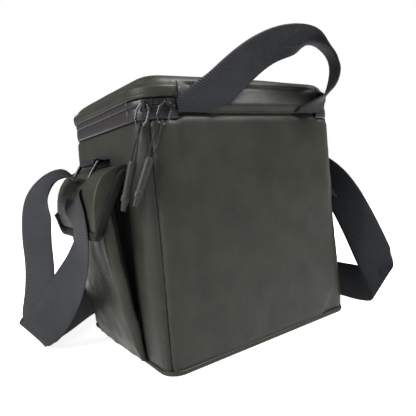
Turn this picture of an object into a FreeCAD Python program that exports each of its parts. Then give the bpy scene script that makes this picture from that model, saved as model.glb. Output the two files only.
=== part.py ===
import FreeCAD, Part
import math
import os

Vec = FreeCAD.Vector

# A hard-sided camera bag with a hinged lid, two capped side pockets, a carry handle and a
# webbing shoulder strap. Millimetres. The origin is the middle of the base, +Z up, the large
# plain panel that lies against the body faces -Y, and the pockets are on -X and +X.

# ---- driving dimensions ----
width = 272.0               # over the shell, along X
depth = 220.0               # over the shell, along Y
wall_height = 254.0         # floor to the seam where the zipper begins
corner_radius = 30.0        # upright corners, in plan
lid_rise = 36.0             # seam to the lid's upper edge
crown = 7.0                 # how far the padded top stands above that edge
shell = 1.2                 # coated outer fabric with its backing
foam = 9.0                  # closed-cell padding
liner = 1.0                 # inner fabric
board = 2.0                 # stiff sheet under the base padding
binding_height = 5.0        # rolled strip round the bottom edge
binding_proud = 1.0
gap = 0.3                   # air between pieces that move past each other

hinge_height = 4.0          # fold line above the seam
hinge_proud = 1.5           # and outside the back panel
hinge_half = 98.0           # the fold is this long each side of the middle
zip_clear_y = 35.0          # the zipper's fixed ends reach this far from the back face
tape_top = 10.5             # lower tape above the seam
tape_gap = 1.8              # between the two tapes
tape_rise = 6.0             # height of the upper tape
tape = 0.8
coil = 1.2                  # thickness of each row of teeth
coil_rise = 2.2
lip_height = 4.0            # rolled lower edge of the lid's side
lip_proud = 1.0

handle_width = 39.0
handle_thick = 2.4
handle_centre = 80.0        # each sewn end from the middle
handle_rise = 82.0          # top of the loop above its root
handle_lean = 13.0          # how far the loop leans out from the back

pocket_half = 62.0
pocket_height = 189.0       # mouth, where it meets the side
pocket_mouth_drop = 14.0    # and how much lower its outer lip is
pocket_out = 33.0           # how far the lip stands out
pocket_foot = 5.0           # and the pocket's bottom
pocket_wall = 1.2
pocket_lift = 6.0           # its bottom seam above the floor
hem = 1.8

flap_hinge = 214.0
flap_side = 1.5             # air between the pocket and each wing of the flap
flap_room = 8.0             # the flap's face stands this far out from the pocket's lip
flap_out = pocket_out + flap_room
flap_drop = 74.0
flap_thick = 1.8
binding_thick = 1.4
patch_thick = 1.0           # hook tape under the flap, and loop tape on the pocket
patch_half = 38.0           # half the length of both, along Y

ring_wire = 2.0             # radius of the ring's wire
ring_inboard = 24.0         # its upper bar, in from the flap's face
ring_back = flap_out - ring_inboard
ring_top = 219.0            # and above the floor
ring_run = 15.5             # lower bar, further out than the upper one
ring_dip = 22.0             # and below it
tab_thick = 1.5

strap_width = 49.0
strap_thick = 1.5
squared_ends = 3            # stations at each sewn end that keep the seam's direction
strap_face = 177.3          # the flap's face, and the front panel, for which the strap's
strap_front = 110.0         # points were chosen; they move out with both
strap_room = 0.5            # air at each edge of the strap, inside its ring
tab_room = 2.0              # air at each edge of the ring's tab, the same way
ring_half = strap_width / 2 + strap_room + ring_wire    # half the ring along Y, to the wire's middle
tab_half = ring_half - ring_wire - tab_room
adjuster_thick = 3.0
adjuster_bar = 4.0

divider_thick = 10.0
divider_height = 190.0
divider_from_middle = 42.0

slider_length = 13.0
slider_plate = 1.6
side_slider_turn = 47.0     # degrees round the corner from the back face
back_slider_turn = 10.0
pull_wire = 1.1
cord_radius = 0.9

hinge_z = wall_height + hinge_height
hinge_y = -depth / 2 - hinge_proud
top_edge = wall_height + lid_rise
inner = shell + foam + liner


def save(name, *solids):
    shape = solids[0] if len(solids) == 1 else Part.makeCompound(list(solids))
    shape.exportStep("parts/" + name + ".step")


def block(low, high):
    size = [b - a for a, b in zip(low, high)]
    return Part.makeBox(*size, Vec(*low))


def plan_block(inset, low, high):
    """The bag's outline in plan, moved in by inset, from one height to another."""
    x, y = width / 2 - inset, depth / 2 - inset
    body = block((-x, -y, low), (x, y, high))
    radius = corner_radius - inset
    upright = [e for e in body.Edges if abs(e.tangentAt(0).z) > 0.9]
    return body.makeFillet(radius, upright) if radius > 1 else body


def ring(outer, thick, low, high):
    return plan_block(outer, low, high).cut(plan_block(outer + thick, low - 1, high + 1))


def prism_y(points, low, high):
    """A solid whose section is drawn in X and Z, between two places along Y."""
    corners = [Vec(x, low, z) for x, z in points]
    face = Part.Face(Part.makePolygon(corners + corners[:1]))
    return face.extrude(Vec(0, high - low, 0))


def prism_z(points, low, high):
    corners = [Vec(x, y, low) for x, y in points]
    face = Part.Face(Part.makePolygon(corners + corners[:1]))
    return face.extrude(Vec(0, 0, high - low))


def mirrored(shape):
    return shape.mirror(Vec(0, 0, 0), Vec(1, 0, 0))


def sectors():
    """The four parts of the plan that the upright corner seams divide."""
    x, y = width / 2 + 20, depth / 2 + 20
    m = corner_radius + 35
    low, high = -5, top_edge + 40
    spots = {
        "back": [(-x, -y), (x, -y), (x - m, -y + m), (-x + m, -y + m)],
        "front": [(-x, y), (x, y), (x - m, y - m), (-x + m, y - m)],
        "left": [(-x, -y), (-x + m, -y + m), (-x + m, y - m), (-x, y)],
        "right": [(x, -y), (x - m, -y + m), (x - m, y - m), (x, y)],
    }
    return {side: prism_z(points, low, high) for side, points in spots.items()}


def walls():
    shell_ring = ring(0, shell, shell, wall_height)
    foam_ring = ring(shell, foam, shell + board + foam, wall_height - 4)
    for side, piece in sectors().items():
        save(side + "_panel", shell_ring.common(piece))
        save(side + "_padding", foam_ring.common(piece))
    save("base_panel", plan_block(0, 0, shell))
    save("base_binding", ring(-binding_proud, binding_proud, 0, binding_height))
    save("base_board", plan_block(shell, shell, shell + board))
    save("base_padding", plan_block(shell, shell + board, shell + board + foam))
    floor = shell + board + foam
    tub = plan_block(shell + foam, floor, wall_height - 4)
    save("liner", tub.cut(plan_block(inner, floor + liner, wall_height)))


def zipper_ends_region():
    """The two back corners, where the zipper stays shut and the sliders park."""
    low, high = wall_height - 20, top_edge
    y = -depth / 2 + zip_clear_y
    left = block((-width, -depth, low), (-hinge_half, y, high))
    return left, mirrored(left)


def zipper_run(z_low, z_high, inset, thick):
    """A strip that follows the zipper round the left side, the front and the right side."""
    strip = ring(inset, thick, z_low, z_high)
    return strip.cut(block((-width, -depth, z_low - 1), (width, -depth / 2 + zip_clear_y + gap, z_high + 1)))


def zipper():
    low_top = wall_height + tape_top
    up_low = low_top + tape_gap
    up_high = up_low + tape_rise
    middle = low_top + tape_gap / 2
    save("lower_zipper_tape", zipper_run(wall_height, low_top, 0.2, tape))
    save("upper_zipper_tape", zipper_run(up_low, up_high, 0.2, tape))
    teeth_inset = 0.2 + tape
    save("lower_zipper_teeth", zipper_run(middle - gap / 2 - coil_rise, middle - gap / 2, teeth_inset, coil))
    save("upper_zipper_teeth", zipper_run(middle + gap / 2, middle + gap / 2 + coil_rise, teeth_inset, coil))
    for name, corner in zip(("left", "right"), zipper_ends_region()):
        lower = ring(0.2, tape, wall_height, low_top)
        upper = ring(0.2, tape, up_low + 0.8, up_high)
        teeth = ring(teeth_inset, coil, low_top - coil_rise, low_top)
        more = ring(teeth_inset, coil, up_low + 0.8, up_low + 0.8 + coil_rise)
        sign = -1 if name == "left" else 1
        edge = sorted((sign * hinge_half, sign * (hinge_half + 4)))
        patch = block((edge[0], -depth, wall_height), (edge[1], 0, up_high))
        patch = ring(0.2, tape, wall_height, up_high).common(patch)
        strips = lower.fuse([upper, teeth, more]).common(corner)
        save(name + "_zipper_end", strips.fuse(patch).removeSplitter())
    back = block((-hinge_half + gap, -depth, 0), (hinge_half - gap, 0, top_edge))
    save("hinge_panel_lower", ring(0, shell, wall_height, hinge_z - gap).common(back))
    save("hinge_panel_upper", ring(0, shell, hinge_z + gap, up_high).common(back))
    return up_high


def lid(base):
    band_low = base + 0.4
    save("lid_side_band", ring(0, shell, band_low, top_edge))
    save("lid_lip", ring(-lip_proud, lip_proud, band_low, band_low + lip_height))
    save("lid_edge_piping", ring(-lip_proud, lip_proud, top_edge - 3, top_edge))
    top = plan_block(0, top_edge, top_edge + crown)
    rim = [e for e in top.Edges if e.BoundBox.ZMin > top_edge + crown - 0.01]
    save("lid_top_panel", top.makeFillet(crown - 1, rim))
    save("lid_padding", plan_block(shell, top_edge - foam - shell, top_edge))
    save("lid_liner", plan_block(shell + 2, top_edge - foam - shell - liner, top_edge - foam - shell))


def strap_sections(stations, wide, thick):
    """The four corners of a flat strap at each place: its middle, and the direction across it."""
    found = []
    for i, (centre, side) in enumerate(stations):
        before, after = stations[max(i - 1, 0)][0], stations[min(i + 1, len(stations) - 1)][0]
        along = Vec(*after).sub(Vec(*before)).normalize()
        out = along.cross(Vec(*side).normalize())
        spread = out.Length
        out.normalize()
        at_an_end = min(i, len(stations) - 1 - i) < squared_ends
        a = Vec(*side).normalize() * (wide / 2 / spread) if at_an_end else out.cross(along) * (wide / 2)
        b = out * (thick / 2)
        middle = Vec(*centre)
        found.append([middle - a - b, middle + a - b, middle + a + b, middle - a + b])
    return found


def strap_solid(sections):
    faces = [polygon(sections[0]), polygon(sections[-1])]
    for one, two in zip(sections, sections[1:]):
        for k in range(4):
            n = (k + 1) % 4
            # both broad faces split on the same diagonal, so that a twisted strap keeps its thickness
            here, there = (one[k], two[n]) if k != 2 else (one[n], two[k])
            faces.append(polygon([one[k], one[n], there]))
            faces.append(polygon([two[n], two[k], here]))
    solid = Part.makeSolid(Part.makeShell(faces))
    if solid.Volume < 0:
        solid.reverse()
    return solid


def strap_length(sections, first, last, spare):
    """The stretch between two places, its ends drawn in by spare so that it clears the next one."""
    part = [list(corners) for corners in sections[first:last + 1]]
    for end, near in ((0, 1), (-1, -2)):
        pull = part[near][0].sub(part[end][0]).normalize() * spare
        part[end] = [corner + pull for corner in part[end]]
    return strap_solid(part)


def polygon(corners):
    return Part.Face(Part.makePolygon(list(corners) + [corners[0]]))


# The handle's loop: along X in half spans, outward and upward as shares, and the direction across it.
handle_stations = [
    (-1.0, 0.0, 0.005, (1, 0, 0)), (-0.93, 0.2, 0.1, (1, 0, -0.1)), (-0.62, 0.5, 0.3, (0.93, 0, -0.37)),
    (-0.31, 0.75, 0.54, (0.87, 0, -0.48)), (0.03, 0.9, 0.75, (0.72, 0.14, -0.66)), (0.41, 1.0, 0.915, (0.36, 0.32, -0.7)),
    (0.8, 1.1, 0.985, (0.46, 0.42, -0.5)), (1.01, 1.2, 0.97, (0.62, 0.62, -0.08)), (1.18, 1.3, 0.92, (0.62, 0.66, 0.08)),
    (1.32, 1.35, 0.84, (0.57, 0.68, 0.06)), (1.41, 1.4, 0.73, (0.53, 0.71, 0.08)), (1.44, 1.4, 0.59, (0.48, 0.74, 0.1)),
    (1.38, 1.35, 0.39, (0.52, 0.74, 0.1)), (1.27, 1.1, 0.22, (0.66, 0.66, 0.05)), (1.12, 0.45, 0.1, (1, 0.15, 0)),
    (1.0, 0.0, 0.005, (1, 0, 0)),
]


def handle():
    end = handle_centre
    stations = [((end * x, hinge_y - handle_lean * out, hinge_z + handle_rise * up), side)
                for x, out, up, side in handle_stations]
    save("carry_handle", strap_solid(strap_sections(stations, handle_width, handle_thick)))


def sewn_webbing_ends():
    """The handle's two ends, stitched down flat under the fold of the lid."""
    half, back = handle_width / 2, -depth / 2
    ends = [block((x - half, back - 1.2, wall_height - 15), (x + half, back, hinge_z - hinge_height))
            for x in (-handle_centre, handle_centre)]
    save("sewn_webbing_ends", *ends)


def side_x(out):
    return -width / 2 - gap - out


def pocket_outline(inset, lift, over):
    """The pocket's section: inset from its own faces, from its bottom seam to its slanted mouth."""
    rise = pocket_height - pocket_mouth_drop - pocket_lift
    steps = [(pocket_foot, 0), (pocket_foot + 15, 0.36), (pocket_out - 5, 0.7), (pocket_out, 1)]
    outer = [(side_x(out - inset), pocket_lift + max(rise * share, lift)) for out, share in steps]
    back = side_x(inset)
    outer[-1] = (outer[-1][0], outer[-1][1] + over)
    return [(back, pocket_lift + lift)] + outer + [(back, pocket_height + over)]


def strip_on(start, end, first, last, thick):
    """A thin quadrilateral on a line in X and Z, between two shares of it, to its -X side."""
    (x0, z0), (x1, z1) = start, end
    far = math.hypot(x1 - x0, z1 - z0)
    up = 1 if z1 > z0 else -1
    nx, nz = -(z1 - z0) / far * thick * up, (x1 - x0) / far * thick * up
    a, b = [(x0 + (x1 - x0) * share, z0 + (z1 - z0) * share) for share in (first, last)]
    return [a, b, (b[0] + nx, b[1] + nz), (a[0] + nx, a[1] + nz)]


def on_both_sides(name, shape):
    save("left_" + name, shape)
    save("right_" + name, mirrored(shape))


def pocket():
    w, half = pocket_wall, pocket_half
    outer = prism_y(pocket_outline(0, 0, 0), -half, half)
    inside = prism_y(pocket_outline(w, pocket_wall + 4, 2), -half + w, half - w)
    on_both_sides("pocket", outer.cut(inside))
    lip = (side_x(pocket_out), pocket_height - pocket_mouth_drop)
    seat = (side_x(0), pocket_height)
    edge = [lip, seat, (seat[0], seat[1] + hem), (lip[0], lip[1] + hem)]
    mouth = block((side_x(pocket_out - w), -half + w, 0), (side_x(w), half - w, pocket_height + 9))
    on_both_sides("pocket_hem", prism_y(edge, -half, half).cut(mouth))
    face = pocket_outline(0, 0, 0)[3:5]
    pad = prism_y(strip_on(face[0], face[1], 0.15, 0.55, patch_thick), -patch_half, patch_half)
    save("loop_patches", pad, mirrored(pad))


def flap_outline(inset):
    top, out = flap_hinge - inset, flap_out - inset
    low = flap_hinge - flap_drop
    return [(side_x(-inset), top), (side_x(20 - inset), top - 5), (side_x(out - 3), top - 34), (side_x(out), low)]


def flap():
    t = flap_thick
    half = pocket_half + flap_side + t
    low = flap_hinge - flap_drop
    outer = prism_y(flap_outline(0), -half, half)
    under = flap_outline(t) + [(side_x(flap_out - t), low - 1), (side_x(-2), low - 1), (side_x(-2), flap_hinge - t)]
    on_both_sides("flap", outer.cut(prism_y(under, -half + t, half - t)))
    x = side_x(flap_out)
    edge = block((x - 0.8, -half, low - binding_thick), (x + t + 0.8, half, low))
    on_both_sides("flap_binding", edge)
    shoulder, foot = flap_outline(t)[2:4]
    pad = strip_on(shoulder, foot, 0.35, 0.9, -patch_thick)
    on_both_sides("hook_patch", prism_y(pad, -patch_half, patch_half))


def rod(a, b, radius):
    line = Vec(*b).sub(Vec(*a))
    return Part.makeCylinder(radius, line.Length, Vec(*a), line)


def wire_loop(corners, radius):
    """A closed loop of round wire with rounded corners."""
    pieces = [rod(a, b, radius) for a, b in zip(corners, corners[1:] + corners[:1])]
    pieces += [Part.makeSphere(radius, Vec(*c)) for c in corners]
    return pieces[0].fuse(pieces[1:]).removeSplitter()


def strap_rings():
    top = (side_x(ring_back), ring_top)
    low = (top[0] - ring_run, top[1] - ring_dip)
    corners = [(top[0], -ring_half, top[1]), (top[0], ring_half, top[1]),
               (low[0], ring_half, low[1]), (low[0], -ring_half, low[1])]
    on_both_sides("strap_ring", wire_loop(corners, ring_wire))
    along = Vec(0, 1, 0)
    start = Vec(top[0], -tab_half, top[1])
    eye = Part.makeCylinder(ring_wire + gap + tab_thick, 2 * tab_half, start, along)
    neck = block((top[0], -tab_half, top[1] - tab_thick), (side_x(0.5), tab_half, top[1] + tab_thick))
    hole = Part.makeCylinder(ring_wire + gap, 2 * tab_half, start, along)
    on_both_sides("tab_loop", eye.fuse(neck).cut(hole).removeSplitter())


# The strap's middle line and the direction across it. The long webbing runs from over the left
# ring's bar, down to the floor, round behind the bag and up to the right ring's bar.
long_webbing = [
    ((-168, 0, 200.6), (0, 1, 0)), ((-173, 0, 203), (0, 1, 0.05)), ((-180, 3, 206), (0.05, 1, 0.1)),
    ((-189, 11, 204), (0.05, 0.98, 0.12)), ((-199, 27, 192), (-0.15, 0.95, 0.1)),
    ((-206, 39, 172), (-0.4, 0.9, 0.05)), ((-209, 45, 140), (-0.45, 0.89, 0)),
    ((-209, 49, 105), (-0.45, 0.89, 0)), ((-212, 56, 70), (-0.45, 0.87, 0.15)),
    ((-216, 66, 41), (-0.45, 0.8, 0.35)), ((-216, 73, 26), (-0.43, 0.74, 0.53)),
    ((-210, 78, 25), (-0.3, 0.5, 0.8)), ((-198, 84, 25.5), (-0.1, 0.1, 1)), ((-162, 113, 25), (0, 0, 1)),
    ((-118, 154, 25), (0, 0, 1)), ((-64, 180.5, 25), (0, 0, 1)), ((-13, 189, 28.6), (0, 0, 1)),
    ((26, 189.3, 27.5), (0, 0, 1)), ((62, 184, 25), (0, 0, 1)), ((102, 168, 25), (0, 0, 1)),
    ((136, 141, 25), (0, 0, 1)), ((161, 105, 25), (0, 0, 1)), ((176, 57, 25), (0, 0, 1)),
    ((181, -3, 25), (0, 0, 1)), ((178, -63, 25), (0.05, 0, 1)), ((175, -108, 25), (0.1, -0.2, 1)),
    ((174, -131, 25.5), (0.15, -0.4, 0.9)), ((175, -141, 30), (0.25, -0.49, 0.86)),
    ((178, -135, 44), (0.4, -0.5, 0.75)), ((182, -119, 72), (0.5, -0.6, 0.6)),
    ((186, -101, 104), (0.5, -0.7, 0.5)), ((190, -77, 140), (0.4, -0.85, 0.3)),
    ((190, -55, 168), (0.25, -0.95, 0.2)), ((185, -31, 190), (0.1, -1, 0.2)),
    ((178, -12, 202), (0, -1, 0.1)), ((172.5, -2, 204), (0, -1, 0)), ((168, 0, 201.3), (0, -1, 0)),
]
left_lift_end, adjuster_end, right_lift_end = 6, 16, 31

# Its turned-back end, from under the left ring's bar to the adjuster, lies just outside it.
turned_end = [
    ((-168.5, 0, 193.4), (0, 1, 0)), ((-173, -3, 187), (0, 1, 0)), ((-179, -11, 176), (0.05, 1, 0)),
    ((-180.5, -25, 160), (0.04, 1, 0.05)), ((-181, -29, 144), (0.03, 1, 0.1)),
    ((-182, -26, 126), (0, 1, 0.12)), ((-185, -12, 106), (-0.15, 1, 0.18)),
    ((-193, 9, 80), (-0.35, 0.85, 0.3)), ((-205, 40, 46), (-0.45, 0.78, 0.45)),
    ((-217, 64, 25), (-0.43, 0.74, 0.53)), ((-221, 76, 20.5), (-0.43, 0.74, 0.53)),
    ((-216, 83, 22), (-0.3, 0.5, 0.8)), ((-201, 90, 25.2), (-0.1, 0.1, 1)), ((-165, 118, 25), (0, 0, 1)),
    ((-120, 159, 25), (0, 0, 1)), ((-65, 187.5, 25), (0, 0, 1)), ((-34, 194.4, 27.5), (0, 0, 1)),
    ((-12, 194.4, 28.6), (0, 0, 1)),
]
turned_lift_end = 5


def round_the_bag(stations):
    """The strap's stations, moved out with the flaps' faces and with the front panel."""
    out, forward = -side_x(flap_out) - strap_face, depth / 2 - strap_front
    moved = []
    for (x, y, z), side in stations:
        beside = max(-1.0, min(1.0, x / strap_front))
        ahead = max(0.0, min(1.0, y / strap_front))
        moved.append(((x + out * beside, y + forward * ahead, z), side))
    return moved


def strap():
    long = strap_sections(round_the_bag(long_webbing), strap_width, strap_thick)
    turned = strap_sections(round_the_bag(turned_end), strap_width, strap_thick)
    spare = gap / 2
    save("left_strap_top", strap_length(long, 0, left_lift_end, spare), strap_length(turned, 0, turned_lift_end, spare))
    save("strap_outer_layer", strap_length(long, left_lift_end, adjuster_end, spare))
    save("strap_long_run", strap_length(long, adjuster_end, right_lift_end, spare))
    save("right_strap_top", strap_length(long, right_lift_end, len(long) - 1, spare))
    save("strap_inner_layer", strap_length(turned, turned_lift_end, len(turned) - 1, spare))


def adjuster():
    """A three-bar slide that stands on edge where the turned-back end meets the long webbing."""
    x, y, z = round_the_bag(turned_end)[-1][0]
    bar, half = adjuster_bar, strap_width / 2 + 0.8
    back = y - strap_thick / 2 - gap - adjuster_thick
    frame = block((x - 12, back, z - half - bar + 0.8), (x + 16, back + adjuster_thick, z + half + bar - 0.8))
    for slot in (x - 8, x + 4):
        frame = frame.cut(block((slot, back - 1, z - half), (slot + 8, back + adjuster_thick + 1, z + half)))
    save("strap_adjuster", frame)


corner_middle = (-(width / 2 - corner_radius), -(depth / 2 - corner_radius))
zip_middle = wall_height + tape_top + (tape_gap + 0.8) / 2


def round_corner(radii, turns, heights):
    """A block bent round the back left corner: two radii, two turns from the back face, two heights."""
    x, y = corner_middle
    start, sweep = -90 - turns[1], turns[1] - turns[0]
    tall = heights[1] - heights[0]
    foot = Vec(x, y, heights[0])
    solid = Part.makeCylinder(radii[1], tall, foot, Vec(0, 0, 1), sweep)
    solid = solid.cut(Part.makeCylinder(radii[0], tall, foot, Vec(0, 0, 1), 360))
    solid.rotate(foot, Vec(0, 0, 1), start)
    return solid


def slider(name, turn):
    reach = math.degrees(slider_length / 2 / corner_radius)
    face = corner_radius + gap
    behind = corner_radius - 0.2 - tape - coil - gap
    z = zip_middle
    front = round_corner((face, face + slider_plate), (turn - reach, turn + reach), (z - 5, z + 5))
    back = round_corner((behind - 1.2, behind), (turn - reach, turn + reach), (z - 4.4, z + 4.4))
    post = round_corner((behind - 1.2, face + 1), (turn - 4, turn + 4), (z - 0.8, z + 0.8))
    out, tangent = corner_frame(turn)
    centre = pull_centre(turn)
    arch = Part.makeBox(5.6, 2.4, 7.0, Vec(-2.6, -1.2, -3.5))
    arch = arch.cut(Part.makeCylinder(1.9, 6, Vec(0, -3, 0), Vec(0, 1, 0)))
    arch.transformShape(frame_matrix(centre, out, tangent, Vec(0, 0, 1)))
    save(name + "_slider", front.fuse([back, post, arch]).removeSplitter())


def corner_frame(turn):
    """Outward and along-the-zipper directions at a turn round the corner."""
    a = math.radians(turn)
    return Vec(-math.sin(a), -math.cos(a), 0), Vec(-math.cos(a), math.sin(a), 0)


def pull_centre(turn):
    out = corner_frame(turn)[0]
    reach = corner_radius + gap + slider_plate + 2.3
    return Vec(corner_middle[0], corner_middle[1], zip_middle) + out * reach


def frame_matrix(origin, x_axis, y_axis, z_axis):
    return FreeCAD.Matrix(
        x_axis.x, y_axis.x, z_axis.x, origin.x,
        x_axis.y, y_axis.y, z_axis.y, origin.y,
        x_axis.z, y_axis.z, z_axis.z, origin.z,
        0, 0, 0, 1)


# Half of the doubled cord, from the grip up round the loop's bar: along the zipper, outward, down.
cord_points = [(-2.0, 0.0, 54.0), (-2.5, 1.2, 45.0), (-1.8, 2.2, 34.5), (-0.7, 2.7, 25.5), (-0.1, 2.4, 17.4)]


def cord_route():
    back = [(-t, -n, d) for t, n, d in reversed(cord_points)]
    return cord_points + back


def rounded_path(points, label):
    """Straight runs joined by tangent arcs, as large as the two runs at each point allow."""
    points = [Vec(*p) for p in points]
    edges, at, radii = [], points[0], []
    for before, here, after in zip(points, points[1:], points[2:]):
        a, b = here.sub(before), after.sub(here)
        short = 0.45 * min(a.Length, b.Length)
        half_turn = a.getAngle(b) / 2
        start = here - a.normalize() * short
        end = here + b.normalize() * short
        bend = ((start + end) * 0.5).sub(here)
        radius = short / math.tan(half_turn)
        middle = here + bend.normalize() * (radius / math.cos(half_turn) - radius)
        edges += [Part.LineSegment(at, start).toShape(), Part.Arc(start, middle, end).toShape()]
        at = end
        radii.append(round(radius, 1))
    edges.append(Part.LineSegment(at, points[-1]).toShape())
    print(label, "arc radii", radii)
    return Part.Wire(edges)


def tube(points, radius, label):
    path = rounded_path(points, label)
    start = Vec(*points[0])
    along = Vec(*points[1]).sub(start)
    section = Part.Wire([Part.Circle(start, along, radius).toShape()])
    solid = path.makePipeShell([section], True, False)
    share = solid.Volume / (math.pi * radius ** 2 * path.Length)
    print(label, "length", round(path.Length, 1), "volume share", round(share, 3))
    return solid


def pull(name, turn, lean):
    """The loop, cord and grip that hang from a slider, along the direction lean."""
    down = Vec(*lean).normalize()
    tangent = corner_frame(turn)[1]
    across = tangent.sub(down * tangent.dot(down)).normalize()
    out = down.cross(across)
    if out.dot(corner_frame(turn)[0]) < 0:
        out = out * -1
    centre = pull_centre(turn)

    def place(t, n, d):
        return centre + across * t + out * n + down * d

    loop = [(-2.8, 0), (-6, 5), (-6, 14), (-3, 20), (3, 20), (6, 14), (6, 5), (2.8, 0)]
    save(name + "_pull_loop", wire_loop([tuple(place(t, 0, d)) for t, d in loop], pull_wire))
    route = [tuple(place(*p)) for p in cord_route()]
    save(name + "_pull_cord", tube(route, cord_radius, name + " pull cord"))
    print(name, "pull axis", [round(v, 4) for v in across], "centre", [round(v, 2) for v in centre],
          "route", [[round(v, 1) for v in p] for p in route])
    profile = [(0, 54), (3.4, 54), (4.2, 57), (3.7, 86), (4.4, 88), (4.4, 92), (3.2, 94), (2.4, 102), (0, 102)]
    corners = [place(0, r, d) for r, d in profile]
    face = Part.Face(Part.makePolygon(corners + corners[:1]))
    save(name + "_pull_grip", face.revolve(place(0, 0, 54), down, 360))


def dividers():
    y = depth / 2 - inner - 1
    low = shell + board + foam + liner + 1
    for name, x in (("left", -divider_from_middle), ("right", divider_from_middle)):
        panel = block((x - divider_thick / 2, -y, low), (x + divider_thick / 2, y, low + divider_height))
        upright = [e for e in panel.Edges if abs(e.tangentAt(0).y) > 0.9]
        save(name + "_divider", panel.makeFillet(4, upright))


os.makedirs("parts", exist_ok=True)
walls()
lid(zipper())
handle()
sewn_webbing_ends()
pocket()
flap()
strap_rings()
strap()
adjuster()
slider("side", side_slider_turn)
slider("back", back_slider_turn)
pull("side", side_slider_turn, (-25, 17, -98))
pull("back", back_slider_turn, (-38, 12, -93))
dividers()
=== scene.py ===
from itertools import product
from math import atan2, copysign, cos, exp, pi, prod, radians, sin
import bmesh
import bpy
from mathutils import Matrix, Vector, noise


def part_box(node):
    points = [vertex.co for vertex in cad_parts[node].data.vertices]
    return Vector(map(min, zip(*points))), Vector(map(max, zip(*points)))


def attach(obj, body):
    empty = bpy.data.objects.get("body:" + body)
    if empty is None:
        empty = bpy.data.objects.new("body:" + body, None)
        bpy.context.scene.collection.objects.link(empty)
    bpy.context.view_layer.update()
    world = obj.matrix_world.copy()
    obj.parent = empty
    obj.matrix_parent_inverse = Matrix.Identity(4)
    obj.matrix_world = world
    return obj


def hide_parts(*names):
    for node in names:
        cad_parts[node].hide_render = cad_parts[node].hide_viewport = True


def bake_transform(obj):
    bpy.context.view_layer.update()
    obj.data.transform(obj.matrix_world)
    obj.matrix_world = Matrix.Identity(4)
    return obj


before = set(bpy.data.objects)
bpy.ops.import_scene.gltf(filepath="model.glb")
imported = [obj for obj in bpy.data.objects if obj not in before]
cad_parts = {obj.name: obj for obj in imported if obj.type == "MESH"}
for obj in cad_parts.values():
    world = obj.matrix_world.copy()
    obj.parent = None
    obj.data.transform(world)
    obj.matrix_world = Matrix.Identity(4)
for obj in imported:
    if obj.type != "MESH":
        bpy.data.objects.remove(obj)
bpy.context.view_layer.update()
print("frame loaded:", len(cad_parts), "nodes")

mm = 0.001
sides = {"left": -1, "right": 1}


def intoScene(name, data):
    piece = bpy.data.objects.new(name, data)
    bpy.context.scene.collection.objects.link(piece)
    return piece


# the camera comes first
camera = {
    "place": (-0.3118, -0.4570, 0.1989),
    "forward": (0.56289, 0.82179, -0.08835),
    "up": (0.1233, 0.0222, 0.9921),
    "lens": 35.9,
}
eye = intoScene("mainCamera", bpy.data.cameras.new("mainCamera"))
back = -Vector(camera["forward"]).normalized()
right = Vector(camera["up"]).cross(back).normalized()
turn = Matrix((right, back.cross(right), back)).transposed()
eye.matrix_world = Matrix.Translation(camera["place"]) @ turn.to_4x4()
eye.data.lens = camera["lens"]
eye.data.sensor_width = 36
eye.data.clip_start = 0.01
bpy.context.scene.camera = eye


def toLinear(hexColour):
    values = [int(hexColour[i:i + 2], 16) / 255 for i in (1, 3, 5)]
    return tuple(v / 12.92 if v <= 0.04045 else ((v + 0.055) / 1.055) ** 2.4 for v in values) + (1.0,)


def mix(a, b, share):
    return a + (b - a) * share


def smooth(low, high, value):
    t = min(1.0, max(0.0, (value - low) / (high - low)))
    return t * t * (3 - 2 * t)


def bell(value, width):
    return exp(-(value / width) ** 2)


def wobble(point, size, seed=0):
    # even noise, with lumps of about size millimetres
    return noise.noise(Vector(point) / size + Vector((seed, seed * 0.7, -seed)))


def addNode(tree, kind, settings=None, links=None):
    node = tree.nodes.new(kind)
    for key, value in (settings or {}).items():
        if isinstance(key, int) or key in node.inputs:
            node.inputs[key].default_value = value
        else:
            setattr(node, key, value)
    for key, (source, output) in (links or {}).items():
        tree.links.new(source.outputs[output], node.inputs[key])
    return node


def makeMesh(name, points, faces, finish, uvs=None):
    # points in millimetres
    mesh = bpy.data.meshes.new(name)
    mesh.from_pydata([Vector(p) * mm for p in points], [], faces)
    mesh.validate()
    for face in mesh.polygons:
        face.use_smooth = True
    if uvs:
        layer = mesh.uv_layers.new(name="along")
        for loop in mesh.loops:
            layer.data[loop.index].uv = uvs[loop.vertex_index]
    mesh.materials.append(finish)
    return intoScene(name, mesh)


def outward(piece):
    # turns every face the same way, out of the closed form
    work = bmesh.new()
    work.from_mesh(piece.data)
    bmesh.ops.recalc_face_normals(work, faces=work.faces)
    work.to_mesh(piece.data)
    work.free()
    return piece


def gridFaces(rows, columns, wrapColumns=False, wrapRows=False):
    faces = []
    for r in range(rows if wrapRows else rows - 1):
        for c in range(columns if wrapColumns else columns - 1):
            r2, c2 = (r + 1) % rows, (c + 1) % columns
            faces.append((r * columns + c, r * columns + c2, r2 * columns + c2, r2 * columns + c))
    return faces


def loft(name, rows, finish, wrap=True, capStart=False, capEnd=False, wrapRows=False):
    columns = len(rows[0])
    points = [p for row in rows for p in row]
    faces = gridFaces(len(rows), columns, wrap, wrapRows)
    if capStart:
        faces.append(tuple(range(columns - 1, -1, -1)))
    if capEnd:
        last = (len(rows) - 1) * columns
        faces.append(tuple(range(last, last + columns)))
    return outward(makeMesh(name, points, faces, finish))


def thicken(piece, thickness, offset=-1.0):
    step = piece.modifiers.new("thickness", "SOLIDIFY")
    step.thickness = thickness * mm
    step.offset = offset
    return piece


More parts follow.
